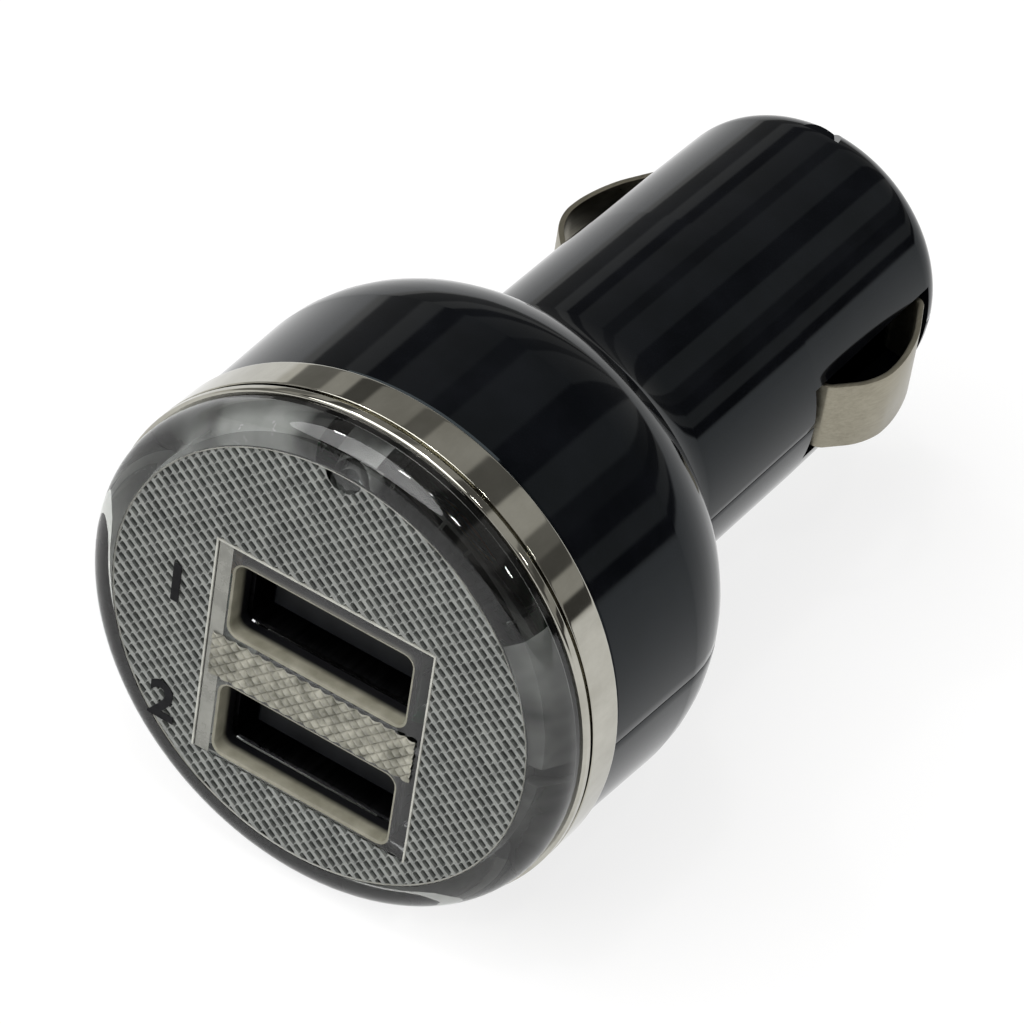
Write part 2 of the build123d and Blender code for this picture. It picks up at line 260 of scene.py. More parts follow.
def mouldedSkinGroup():
    tree, into, out = startGroup("mouldedSkin", [
        ("Size", floatSocket, 300.0), ("Low", floatSocket, 0.05), ("High", floatSocket, 0.12)])
    place = addNode(tree, "ShaderNodeTexCoord").outputs["Object"]
    broad = addNode(tree, "ShaderNodeTexNoise", values={"Detail": 3.0, "Roughness": 0.55},
                    links={"Vector": place, "Scale": into["Size"]})
    fineSize = addNode(tree, "ShaderNodeMath", {"operation": "MULTIPLY"}, {1: skin["fineRatio"]},
                       {0: into["Size"]})
    fine = addNode(tree, "ShaderNodeTexNoise", values={"Detail": 2.0},
                   links={"Vector": place, "Scale": fineSize.outputs[0]})
    both = addNode(tree, "ShaderNodeMath", {"operation": "MULTIPLY_ADD"}, {1: skin["fineShare"]},
                   {0: fine.outputs["Fac"], 2: broad.outputs["Fac"]})
    spread = addNode(tree, "ShaderNodeMapRange", values={"From Min": 0.42, "From Max": 0.92},
                     links={"Value": both.outputs[0], "To Min": into["Low"], "To Max": into["High"]})
    mask = addNode(tree, "ShaderNodeMapRange", values={"From Min": 0.35, "From Max": 0.65},
                   links={"Value": broad.outputs["Fac"]})
    tree.links.new(spread.outputs[0], out["Value"])
    tree.links.new(mask.outputs[0], out["Mask"])
    tree.links.new(both.outputs[0], out["Height"])
    return tree


def drawnMetalGroup():
    tree, into, out = startGroup("drawnMetal", [
        ("Vector", "NodeSocketVector", None), ("Low", floatSocket, 0.2), ("High", floatSocket, 0.4)])
    streaks = addNode(tree, "ShaderNodeTexNoise", values={"Scale": 1.0, "Detail": 5.0, "Roughness": 0.65},
                      links={"Vector": into["Vector"]})
    place = addNode(tree, "ShaderNodeTexCoord").outputs["Object"]
    tarnish = addNode(tree, "ShaderNodeTexNoise", values={"Scale": drawn["tarnishSize"], "Detail": 4.0},
                      links={"Vector": place})
    mixed = addNode(tree, "ShaderNodeMath", {"operation": "MULTIPLY_ADD"}, {1: drawn["tarnishShare"]},
                    {0: tarnish.outputs["Fac"], 2: streaks.outputs["Fac"]})
    spread = addNode(tree, "ShaderNodeMapRange", values={"From Min": 0.5, "From Max": 1.0},
                     links={"Value": mixed.outputs[0], "To Min": into["Low"], "To Max": into["High"]})
    mask = addNode(tree, "ShaderNodeMapRange", values={"From Min": 0.55, "From Max": 0.95},
                   links={"Value": mixed.outputs[0]})
    tree.links.new(spread.outputs[0], out["Value"])
    tree.links.new(mask.outputs[0], out["Mask"])
    tree.links.new(streaks.outputs["Fac"], out["Height"])
    return tree


mouldedSkin = mouldedSkinGroup()
drawnMetal = drawnMetalGroup()


def startMaterial(name, plain):
    material = bpy.data.materials.new(name)
    material.use_nodes = True
    tree = material.node_tree
    shader = tree.nodes["Principled BSDF"]
    for key, value in plain.items():
        shader.inputs[key].default_value = value
    return material, tree, shader


def dress(tree, shader, group, finish):
    low, high = finish["tones"]
    tone = mixTones(tree, group.outputs["Mask"], (*low, 1), (*high, 1))
    bump = addNode(tree, "ShaderNodeBump", values={"Strength": finish["bump"], "Distance": finish["depth"]},
                   links={"Height": group.outputs["Height"]})
    tree.links.new(tone, shader.inputs["Base Color"])
    tree.links.new(group.outputs["Value"], shader.inputs["Roughness"])
    tree.links.new(bump.outputs[0], shader.inputs["Normal"])


def moulded(name, finish):
    material, tree, shader = startMaterial(name, finish.get("plain", {}))
    group = addNode(tree, "ShaderNodeGroup", {"node_tree": mouldedSkin},
                    {"Size": finish["size"], "Low": finish["rough"][0], "High": finish["rough"][1]})
    dress(tree, shader, group, finish)
    return material


def metal(name, finish):
    material, tree, shader = startMaterial(name, {"Metallic": 1.0, **finish.get("plain", {})})
    place = addNode(tree, "ShaderNodeTexCoord").outputs["Object"]
    along = addNode(tree, "ShaderNodeMapping", values={"Scale": finish["streaks"]}, links={"Vector": place})
    group = addNode(tree, "ShaderNodeGroup", {"node_tree": drawnMetal},
                    {"Low": finish["rough"][0], "High": finish["rough"][1]}, {"Vector": along.outputs[0]})
    dress(tree, shader, group, finish)
    return material


def letLightIn(material):
    # Lamps reach what lies behind the clear plastic, as they do in the real one
    tree = material.node_tree
    shadowRay = addNode(tree, "ShaderNodeLightPath").outputs["Is Shadow Ray"]
    passing = addNode(tree, "ShaderNodeBsdfTransparent")
    either = addNode(tree, "ShaderNodeMixShader", links={
        0: shadowRay, 1: tree.nodes["Principled BSDF"].outputs[0], 2: passing.outputs[0]})
    tree.links.new(either.outputs[0], tree.nodes["Material Output"].inputs["Surface"])


blackGloss = moulded("blackGloss", dict(
    tones=((0.0012, 0.0014, 0.0022), (0.0026, 0.0029, 0.0042)), rough=(0.04, 0.09), size=260.0,
    bump=0.03, depth=0.00002, plain={"IOR": 1.27, "Specular Tint": (0.78, 0.93, 1.0, 1.0)}))
clearLens = moulded("clearLens", dict(
    tones=((0.90, 0.925, 0.915), (0.96, 0.97, 0.965)), rough=(0.0, 0.02), size=120.0,
    bump=0.004, depth=0.00002, plain={"IOR": 1.49, "Transmission Weight": 1.0}))
letLightIn(clearLens)
# Painted reflections and shade: opaque grey bands on the rim's inner faces and round the light pipe, in place
# of what is seen through the clear plastic
paintedReflectionWall = moulded("paintedReflectionWall", dict(
    tones=((0.03, 0.031, 0.030), (0.22, 0.225, 0.216)), rough=(0.12, 0.28), size=190.0,
    bump=0.02, depth=0.00002))
# Painted light: pale inner faces in the rim's left and lower sectors, for the bright ground seen through the
# clear rim
paintedLightRimBack = moulded("paintedLightRimBack", dict(
    tones=((0.55, 0.56, 0.53), (0.88, 0.89, 0.85)), rough=(0.12, 0.28), size=150.0,
    bump=0.02, depth=0.00002))
# Slot walls; further in, their colour is darkened towards the face's shade tone as painted shade
frostedWallAndPaintedShade = moulded("frostedWallAndPaintedShade", dict(
    tones=((0.150, 0.144, 0.108), (0.215, 0.207, 0.162)), rough=(0.28, 0.45), size=700.0,
    bump=0.15, depth=0.00002))
cellRim = moulded("cellRim", dict(
    tones=((0.142, 0.147, 0.140), (0.222, 0.229, 0.217)), rough=(0.20, 0.38), size=900.0,
    bump=0.15, depth=0.00001))
# Painted shade: the cells' inner walls and pit floors are darker than their rims
cellWallPaintedShade = moulded("cellWallPaintedShade", dict(
    tones=((0.060, 0.064, 0.060), (0.110, 0.116, 0.108)), rough=(0.20, 0.38), size=900.0,
    bump=0.15, depth=0.00001))
cellPitPaintedShade = moulded("cellPitPaintedShade", dict(
    tones=((0.012, 0.014, 0.013), (0.030, 0.033, 0.031)), rough=(0.3, 0.5), size=900.0,
    bump=0.15, depth=0.00001))
beadRim = moulded("beadRim", dict(
    tones=((0.11, 0.108, 0.086), (0.30, 0.293, 0.245)), rough=(0.08, 0.20), size=900.0,
    bump=0.15, depth=0.00001))
lineGrey = moulded("lineGrey", dict(
    tones=((0.30, 0.30, 0.27), (0.42, 0.42, 0.38)), rough=(0.15, 0.3), size=900.0,
    bump=0.1, depth=0.00001))
linerGrey = moulded("linerGrey", dict(
    tones=((0.150, 0.150, 0.134), (0.220, 0.220, 0.198)), rough=(0.2, 0.35), size=500.0,
    bump=0.1, depth=0.00001))
printInk = moulded("printInk", dict(
    tones=((0.002, 0.002, 0.003), (0.008, 0.008, 0.009)), rough=(0.45, 0.6), size=1500.0,
    bump=0.1, depth=0.00001, plain={"IOR": 1.2}))
trimChrome = metal("trimChrome", dict(
    tones=((0.36, 0.35, 0.305), (0.46, 0.45, 0.40)), rough=(0.03, 0.07), streaks=(300.0, 120.0, 300.0),
    bump=0.005, depth=0.00001))
satinNickel = metal("satinNickel", dict(
    tones=((0.255, 0.237, 0.185), (0.345, 0.322, 0.257)), rough=(0.27, 0.42), streaks=(4000.0, 160.0, 6000.0),
    bump=0.10, depth=0.00001))
# Painted shade: the socket shells are nickel painted near black, for the dark inside of the sockets
socketNickelPaintedShade = metal("socketNickelPaintedShade", dict(
    tones=((0.020, 0.020, 0.022), (0.045, 0.045, 0.048)), rough=(0.25, 0.4), streaks=(3000.0, 150.0, 3000.0),
    bump=0.08, depth=0.00001))
springSteel = metal("springSteel", dict(
    tones=((0.30, 0.30, 0.31), (0.42, 0.42, 0.43)), rough=(0.2, 0.35), streaks=(2500.0, 2500.0, 2500.0),
    bump=0.05, depth=0.00001))
pinBrass = metal("pinBrass", dict(
    tones=((0.46, 0.33, 0.12), (0.60, 0.45, 0.18)), rough=(0.2, 0.35), streaks=(5000.0, 200.0, 5000.0),
    bump=0.06, depth=0.00001))
copperWire = metal("copperWire", dict(
    tones=((0.30, 0.10, 0.04), (0.52, 0.20, 0.08)), rough=(0.2, 0.35), streaks=(90.0, 90.0, 16000.0),
    bump=0.6, depth=0.00004))
tongueBlack = moulded("tongueBlack", dict(
    tones=((0.0020, 0.0025, 0.0036), (0.0040, 0.0048, 0.0066)), rough=(0.3, 0.45), size=600.0,
    bump=0.1, depth=0.00002, plain={"IOR": 1.35}))
boardGreen = moulded("boardGreen", dict(
    tones=((0.004, 0.040, 0.014), (0.012, 0.085, 0.030)), rough=(0.25, 0.4), size=900.0,
    bump=0.2, depth=0.00004))
ferriteGrey = moulded("ferriteGrey", dict(
    tones=((0.030, 0.030, 0.032), (0.060, 0.060, 0.062)), rough=(0.5, 0.7), size=1400.0,
    bump=0.4, depth=0.00004))
canSleeve = moulded("canSleeve", dict(
    tones=((0.010, 0.012, 0.030), (0.018, 0.022, 0.050)), rough=(0.2, 0.35), size=500.0,
    bump=0.1, depth=0.00002))
chipBlack = moulded("chipBlack", dict(
    tones=((0.010, 0.010, 0.010), (0.022, 0.022, 0.022)), rough=(0.45, 0.6), size=2200.0,
    bump=0.35, depth=0.00002))
ceramicTan = moulded("ceramicTan", dict(
    tones=((0.30, 0.22, 0.13), (0.42, 0.32, 0.20)), rough=(0.35, 0.5), size=1500.0,
    bump=0.2, depth=0.00002))
leadBlack = moulded("leadBlack", dict(
    tones=((0.012, 0.012, 0.012), (0.025, 0.025, 0.025)), rough=(0.4, 0.55), size=800.0,
    bump=0.15, depth=0.00002))
ledClear = moulded("ledClear", dict(
    tones=((0.16, 0.17, 0.17), (0.30, 0.31, 0.31)), rough=(0.03, 0.08), size=900.0,
    bump=0.05, depth=0.00002, plain={"IOR": 1.5, "Transmission Weight": 0.85}))

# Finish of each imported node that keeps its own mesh
nodeFinishes = dict(
    main_board=boardGreen, choke_core=ferriteGrey, choke_winding=copperWire, input_capacitor=canSleeve,
    output_capacitor=canSleeve, converter_chip=chipBlack, rectifier_diode=chipBlack, chip_resistors=chipBlack,
    chip_capacitors=ceramicTan, indicator_led=ledClear, positive_terminal=pinBrass, ground_leads=leadBlack,
    usb_shell_upper=socketNickelPaintedShade, usb_shell_lower=socketNickelPaintedShade, usb_insulator_upper=tongueBlack,
    usb_insulator_lower=tongueBlack, usb_pins_upper=pinBrass, usb_pins_lower=pinBrass)
for node, material in nodeFinishes.items():
    for place in frame["nodes"][node].material_slots:
        place.material = material
print("finishes made")


# Black shell in two halves

shell = dict(
    headDraft=0.25, shoulderR=8.9, blendR=5.7, noseDraft=0.2, tailEdgeR=3.0, frontChamfer=0.35,
    rebateR=16.4, rebateEnd=3.5, headWall=1.9, barrelWall=1.7, tailWall=1.8, boreLead=1.9, tailHoleR=3.5,
    seamGap=0.03, seamBevel=0.10, seamNear=0.001, wallTilt=0.9, outward=0.2,
    windowPlay=0.3, windowFront=0.7, windowIn=0.2, notchW=3.0, notchDepth=1.3, notchSetback=0.4)


def shellBody():
    headR, frontY, tailY = shellHigh.x, shellLow.y, shellHigh.y
    barrelR, gripLen = barrel["r_mm"], barrel["length_mm"]
    turn = acos(1 - (headR - barrelR) / (shell["shoulderR"] + shell["blendR"]))
    shoulderY = -(shell["shoulderR"] + shell["blendR"]) * sin(turn)
    frontR = headR - shell["headDraft"]
    noseR = barrelR - shell["noseDraft"]
    edgeR = shell["tailEdgeR"]
    headBore = frontR - shell["headWall"]
    barrelBore = barrelR - shell["barrelWall"]
    return turned((shell["rebateR"], frontY), [
        (frontR - shell["frontChamfer"], frontY),
        (frontR, frontY + shell["frontChamfer"]),
        (headR, shoulderY),
        (headR - shell["shoulderR"], shoulderY, degrees(turn)),
        (barrelR + shell["blendR"], 0, -degrees(turn)),
        (barrelR, gripLen),
        (noseR, tailY - edgeR),
        (noseR - edgeR, tailY - edgeR, 90),
        (shell["tailHoleR"], tailY),
        (shell["tailHoleR"], tailY - shell["tailWall"]),
        (barrelBore, tailY - shell["tailWall"]),
        (barrelBore, -shell["boreLead"]),
        (headBore, shoulderY),
        (headBore, frontY + shell["rebateEnd"]),
        (shell["rebateR"], frontY + shell["rebateEnd"]),
    ])


def shellCuts():
    tool = bmesh.new()
    reach = shellHigh.x
    side = (contactLow.x - shell["windowIn"], reach)
    along = (contactLow.y + shell["windowFront"], contactHigh.y - shell["windowPlay"])
    up = (contactLow.z - shell["windowPlay"], contactHigh.z + shell["windowPlay"])
    addBlock(tool, side, along, up)
    addBlock(tool, (-side[1], -side[0]), along, up)
    # The notch is the lower point of a diamond that stands on the tail's edge
    notch = bmesh.ops.create_cube(tool, size=sqrt(2))["verts"]
    bmesh.ops.rotate(tool, cent=(0, 0, 0), matrix=Matrix.Rotation(pi / 4, 3, "Y"), verts=notch)
    size = (shell["notchW"], sqrt(2) * shell["tailEdgeR"], 2 * shell["notchDepth"])
    bmesh.ops.scale(tool, vec=size, verts=notch)
    noseR = barrel["r_mm"] - shell["noseDraft"]
    place = (0, shellHigh.y + shell["notchSetback"], noseR + shell["notchDepth"])
    bmesh.ops.translate(tool, vec=place, verts=notch)
    return tool


def shellHalf(whole, side):
    bm = whole.copy()
    gap = side * shell["seamGap"] / 2
    bmesh.ops.bisect_plane(bm, geom=bm.verts[:] + bm.edges[:] + bm.faces[:], dist=mergeDist,
                           plane_co=(0, 0, gap), plane_no=(0, 0, side), clear_inner=True)
    bmesh.ops.holes_fill(bm, edges=[e for e in bm.edges if e.is_boundary])
    bmesh.ops.recalc_face_normals(bm, faces=bm.faces)
    seam = []
    for edge in bm.edges:
        flat = [f for f in edge.link_faces if f.normal.z * side < -square]
        wall = [f for f in edge.link_faces if f.normal.z * side > -shell["wallTilt"]]
        onSeam = all(abs(v.co.z - gap) < shell["seamNear"] for v in edge.verts)
        if flat and wall and onSeam:
            outward = wall[0].normal.x * edge.verts[0].co.x / abs(edge.verts[0].co.x)
            if outward > shell["outward"]:
                seam.append(edge)
    bevelEdges(bm, seam, shell["seamBevel"])
    return bm


wholeShell = combine(shellBody(), shellCuts(), "DIFFERENCE")
for name, side in (("upper", 1), ("lower", -1)):
    finishPiece(name + "Shell", shellHalf(wholeShell, side), "housing", [blackGloss],
                [name + "_shell"])
wholeShell.free()


# Plated trim ring

ring = dict(innerR=16.4, beadW=0.7, beadEdge=0.2, grooveW=0.2, grooveDepth=0.35,
            bandFront=0.07, bandEdge=0.28)


def trimRing():
    outerR, frontY, backY = ringHigh.x, ringLow.y, ringHigh.y
    beadEnd = frontY + ring["beadW"]
    bandY = beadEnd + ring["grooveW"]
    beadEdge, bandFront, bandEdge = ring["beadEdge"], ring["bandFront"], ring["bandEdge"]
    return turned((ring["innerR"], frontY), [
        (outerR - beadEdge, frontY),
        (outerR - beadEdge, frontY + beadEdge, 90),
        (outerR, beadEnd - beadEdge),
        (outerR - beadEdge, beadEnd - beadEdge, 90),
        (outerR - ring["grooveDepth"], beadEnd),
        (outerR - ring["grooveDepth"], bandY),
        (outerR - bandFront, bandY),
        (outerR - bandFront, bandY + bandFront, 90),
        (outerR, backY - bandEdge),
        (outerR - bandEdge, backY - bandEdge, 90),
        (ring["innerR"], backY),
    ])


finishPiece("trimRing", trimRing(), "housing", [trimChrome], ["trim_ring"])


# Clear face with its window, socket slots, keys, ribs and light pipe

# The rim radius and turns below place the opaque inner faces that carry painted reflections and shade, and
# the sectors painted pale as painted light
lens = dict(
    thick=1.9, edgeR=1.8, skirtStep=1.1, skirtT=0.95, discR=15.2, discDepth=0.3,
    windowW=15.9, windowH=17.5, frameDepth=0.12, footEdge=0.42, collarLen=0.9, sheet=0.3, roomPlay=0.1,
    slotW=12.9, slotH=5.4, slotCorner=0.7, slotEdge=0.22, shadeY=(0.9, 1.35),
    shade=(0.003, 0.003, 0.004, 1.0), keyW=1.4, keyDepth=0.7,
    pipeWall=0.4, pipeLen=2.4, pipePlay=0.1, pipeZone=2.0, ledFlange=0.3,
    ribT=0.22, ribDepth=0.4, ribAngles=(40, 58, 66, 80, 99, 152, 215, 245, 295, 325),
    paintedReflectionR=13.9, paintedReflectionTurns=((-80, 35), (101, 170)), paintedLightTurns=((-180, -45), (140, 180)))
faceY = lensLow.y
lensBackY = faceY + lens["thick"]
frameY = faceY + lens["frameDepth"]
lensR = lensHigh.x
skirtR = lensR - lens["skirtStep"]
skirtInR = skirtR - lens["skirtT"]
ledR = (ledHigh.x - ledLow.x) / 2 - lens["ledFlange"]
ledZ = ledHigh.z - ledR - lens["ledFlange"]
windowX = (-lens["windowW"] / 2, lens["windowW"] / 2)
windowZ = (portsZ - lens["windowH"] / 2, portsZ + lens["windowH"] / 2)
frameZ = (portHeights[1] - lens["slotH"] / 2 - lens["footEdge"], windowZ[1])
collarBackY = lensBackY + lens["collarLen"]
# After the clear one come the slot walls with painted shade, the painted reflections and shade, and the
# painted light
slotWall, paintedReflectionPlace, paintedLightPlace = 1, 2, 3      # places of the face's materials after the clear one


def lensAdditions():
    added = bmesh.new()
    addBlock(added, windowX, (frameY, collarBackY), frameZ)
    along = (lensBackY - overlap, lensHigh.y - overlap)
    for side in (0, pi):
        addBlock(added, (skirtInR - lens["keyDepth"], skirtInR + overlap), along,
                 (-lens["keyW"] / 2, lens["keyW"] / 2), turn=side)
    for angle in lens["ribAngles"]:
        addBlock(added, (skirtInR - lens["ribDepth"], skirtInR + overlap), along,
                 (-lens["ribT"] / 2, lens["ribT"] / 2), turn=-radians(angle))
    pipeR = ledR + lens["pipePlay"] + lens["pipeWall"]
    addRod(added, pipeR, (lensBackY - overlap, lensBackY + lens["pipeLen"]), ledZ)
    return added


def cutRoom(bm, halfW, halfH, y, z):
    removed = bmesh.new()
    addBlock(removed, (-halfW, halfW), y, (-halfH, halfH), lens["slotCorner"])
    bmesh.ops.translate(removed, vec=(0, 0, z), verts=removed.verts)
    return combine(bm, removed, "DIFFERENCE")


def inSlot(point, margin):
    offZ = min(abs(z - point.z) for z in portHeights)
    return abs(point.x) < lens["slotW"] / 2 + margin and offZ < lens["slotH"] / 2 + margin


# Painted shade: the colour darkens with depth from startY to endY towards the dark tone, for the shade deep
# inside the socket slots
def paintShadeInside(material, startY, endY, dark):
    tree = material.node_tree
    colour = tree.nodes["Principled BSDF"].inputs["Base Color"]
    place = addNode(tree, "ShaderNodeTexCoord").outputs["Object"]
    depth = addNode(tree, "ShaderNodeSeparateXYZ", links={0: place}).outputs["Y"]
    shade = addNode(tree, "ShaderNodeMapRange", values={"From Min": startY * mm, "From Max": endY * mm},
                    links={"Value": depth})
    tree.links.new(mixTones(tree, shade.outputs[0], colour.links[0].from_socket, dark), colour)


def lensCover():
    edgeR = lens["edgeR"]
    bm = turned((0, faceY + lens["discDepth"]), [
        (lens["discR"], faceY + lens["discDepth"]),
        (lens["discR"], faceY),
        (lensR - edgeR, faceY),
        (lensR - edgeR, faceY + edgeR, 90),
        (lensR, ringLow.y),
        (skirtR, ringLow.y),
        (skirtR, lensHigh.y),
        (skirtInR, lensHigh.y),
        (skirtInR, lensBackY),
        (lens["paintedReflectionR"], lensBackY),
        (0, lensBackY),
    ], closed=False)
    bm = combine(bm, lensAdditions(), "UNION")
    foot = bmesh.new()
    addBlock(foot, (windowX[0] + near, windowX[1] - near), (lensBackY - overlap, collarBackY - near),
             (windowZ[0], frameZ[0] + overlap))
    bm = combine(bm, foot, "UNION")
    removed = bmesh.new()
    addRod(removed, ledR + lens["pipePlay"], (lensBackY, lensBackY + lens["pipeLen"] + past), ledZ)
    bm = combine(bm, removed, "DIFFERENCE")
    roomW = (usbHigh.x - usbLow.x) / 2 + lens["sheet"] + lens["roomPlay"]
    roomH = (usbHigh.z - usbLow.z) / 2 + lens["sheet"] + lens["roomPlay"]
    for z in portHeights:
        bm = cutRoom(bm, lens["slotW"] / 2, lens["slotH"] / 2, (faceY - past, collarBackY + past), z)
        bm = cutRoom(bm, roomW, roomH, (lensBackY, collarBackY + past), z)
    closeUp(bm)
    mouths = [e for e in bm.edges if e.calc_face_angle(0) > creaseAngle and all(
        abs(v.co.y - frameY) < near and inSlot(v.co, near) for v in e.verts)]
    bevelEdges(bm, mouths, lens["slotEdge"])
    # Opaque faces round the rim and the light pipe carry painted reflections and shade; in the listed left
    # and lower sectors they are pale instead, as painted light
    for face in bm.faces:
        middle = face.calc_center_median()
        outR = hypot(middle.x, middle.z)
        turn = degrees(atan2(middle.z, middle.x))
        paintedReflectionHere = any(low < turn < high for low, high in lens["paintedReflectionTurns"])
        paintedLightHere = any(low < turn < high for low, high in lens["paintedLightTurns"])
        inRing = outR > skirtR - near and middle.y > ringLow.y - near
        skirtEnd = outR > skirtInR + near and face.normal.y > 1 - near
        rimInside = middle.y > lensBackY - near and lens["paintedReflectionR"] < outR < skirtInR + near
        lightPipe = middle.y > lensBackY + near and hypot(middle.x, middle.z - ledZ) < lens["pipeZone"]
        if inSlot(middle, lens["slotEdge"]) and frameY + near < middle.y < collarBackY:
            face.material_index = slotWall
        elif inRing or skirtEnd:
            face.material_index = paintedLightPlace if paintedLightHere else paintedReflectionPlace
        elif paintedReflectionHere and rimInside or lightPipe:
            face.material_index = paintedReflectionPlace
    return bm


# Painted shade on the slot walls, darker further into the sockets
paintShadeInside(frostedWallAndPaintedShade, *(faceY + y for y in lens["shadeY"]), lens["shade"])
finishPiece("lensCover", lensCover(), "housing", [clearLens, frostedWallAndPaintedShade, paintedReflectionWall, paintedLightRimBack],
            ["lens_cover"])


# Fine cells moulded into the face, beads on the bar between the slots, and the thin lines round both

# A loop gives the share of the diamond at its level points, upright points and sides,
# then its height and its material
# In the scale cells the inner walls and the pit floor take the darker materials, a painted shade in the pits
scaleCell = dict(halfW=0.502, halfH=0.4387, behind=0.04,
                 loops=((0.62, 0.80, 0.76, -0.02, 0), (0.38, 0.56, 0.52, -0.19, 1)), floor=2, lean=0.45)
beadCell = dict(halfW=0.45, halfH=0.40, behind=0.10,
                loops=((0.74, 0.74, 0.84, 0.07, 0), (0.32, 0.32, 0.40, 0.15, 0)), floor=0, lean=0.0)
sheetTrim = dict(planes=72, spare=0.8, weld=0.01, biteR=1.25, biteSides=14, barMargin=0.45,
                 lineW=0.13, lineH=0.10, linerX=(-7.80, -6.80), linerT=0.03)
lineMark, linerMark = 0, 1      # places of the lines' materials


def shapeLoop(cell, verts, level, upright, side, height):
    for vert in verts:
        across, along = vert.co.x / cell["halfW"], vert.co.y / cell["halfH"]
        share = side
        if abs(across * along) < near:
            share = level if abs(across) > abs(along) else upright
        size = share / (abs(across) + abs(along))
        vert.co = (across * size * cell["halfW"], along * size * cell["halfH"], height)


def cellSheet(cell, halfX, halfZ):
    bm = bmesh.new()
    bmesh.ops.create_circle(bm, cap_ends=True, segments=8, radius=1)
    shapeLoop(cell, bm.verts, 1, 1, 1, 0)
    floorFace = next(iter(bm.faces))
    for level, upright, side, height, material in cell["loops"]:
        made = bmesh.ops.inset_individual(bm, faces=[floorFace], thickness=near)["faces"]
        for face in made:
            face.material_index = material
        shapeLoop(cell, floorFace.verts, level, upright, side, height)
    floorFace.material_index = cell["floor"]
    for vert in bm.verts:  # the pits lean to one side, and the cells' outlines stay
        if vert.co.z:
            vert.co.x -= cell["lean"] * vert.co.y
    one = bm.verts[:] + bm.edges[:] + bm.faces[:]
    columns = ceil(halfX / (2 * cell["halfW"])) + 1
    rows = ceil(halfZ / cell["halfH"]) + 1
    for column in range(-columns, columns + 1):
        if column:
            made = bmesh.ops.duplicate(bm, geom=one)["geom"]
            bmesh.ops.translate(bm, vec=(2 * cell["halfW"] * column, 0, 0), verts=vertsOf(made))
    row = bm.verts[:] + bm.edges[:] + bm.faces[:]
    for step in range(-rows, rows + 1):
        if step:
            made = bmesh.ops.duplicate(bm, geom=row)["geom"]
            move = (cell["halfW"] * (step % 2), cell["halfH"] * step, 0)
            bmesh.ops.translate(bm, vec=move, verts=vertsOf(made))
    bmesh.ops.remove_doubles(bm, verts=bm.verts, dist=sheetTrim["weld"])
    bmesh.ops.rotate(bm, cent=(0, 0, 0), matrix=Matrix.Rotation(pi / 2, 3, "X"), verts=bm.verts)
    return bm


def cutSheet(bm, co, no, faces=None, clear=False):
    faces = bm.faces[:] if faces is None else faces
    geom = list({v for f in faces for v in f.verts}) + list({e for f in faces for e in f.edges}) + faces
    bmesh.ops.bisect_plane(bm, geom=geom, dist=mergeDist, plane_co=co, plane_no=no, clear_outer=clear)


def dropFaces(bm, test):
    bmesh.ops.delete(bm, geom=[f for f in bm.faces if test(f.calc_center_median())], context="FACES")


def facesNear(bm, leftX, rightX, lowZ):
    spots = [(f, f.calc_center_median()) for f in bm.faces]
    return [f for f, p in spots if leftX < p.x < rightX and p.z > lowZ]


def scaleSheet():
    edgeR = lens["discR"]
    bm = cellSheet(scaleCell, edgeR, edgeR)
    dropFaces(bm, lambda p: hypot(p.x, p.z) > edgeR + sheetTrim["spare"])
    for step in range(sheetTrim["planes"]):
        angle = 2 * pi * step / sheetTrim["planes"]
        out = Vector((cos(angle), 0, sin(angle)))
        rim = [f for f in bm.faces if f.calc_center_median().dot(out) > edgeR - sheetTrim["spare"]]
        cutSheet(bm, out * edgeR, out, rim, True)
    for x in windowX:
        cutSheet(bm, (x, 0, 0), (1, 0, 0))
    for z in frameZ:
        cutSheet(bm, (0, 0, z), (0, 0, 1))
    dropFaces(bm, lambda p: windowX[0] < p.x < windowX[1] and frameZ[0] < p.z < frameZ[1])
    # A round bite for the light, with a clean edge
    biteR = sheetTrim["biteR"]
    for step in range(sheetTrim["biteSides"]):
        angle = 2 * pi * step / sheetTrim["biteSides"]
        out = Vector((cos(angle), 0, sin(angle)))
        around = facesNear(bm, -2 * biteR, 2 * biteR, edgeR - 2 * biteR)
        cutSheet(bm, Vector((0, 0, edgeR)) + out * biteR, out, around)
    dropFaces(bm, lambda p: hypot(p.x, p.z - edgeR) < biteR)
    bmesh.ops.translate(bm, vec=(0, faceY + scaleCell["behind"], 0), verts=bm.verts)
    return bm


def beadSheet():
    bm = cellSheet(beadCell, windowX[1], windowZ[1] - portsZ)
    bmesh.ops.translate(bm, vec=(0, 0, portsZ), verts=bm.verts)
    margin = sheetTrim["barMargin"]
    reach = lens["slotH"] / 2 + margin
    barZ = (portHeights[1] + reach, portHeights[0] - reach)
    sideX = (windowX[0] + margin, windowX[1] - margin)
    for z in barZ:
        cutSheet(bm, (0, 0, z), (0, 0, 1))
    for x in sideX:
        cutSheet(bm, (x, 0, 0), (1, 0, 0))
    dropFaces(bm, lambda p: not (sideX[0] < p.x < sideX[1] and barZ[0] < p.z < barZ[1]))
    bmesh.ops.translate(bm, vec=(0, faceY + beadCell["behind"], 0), verts=bm.verts)
    return bm


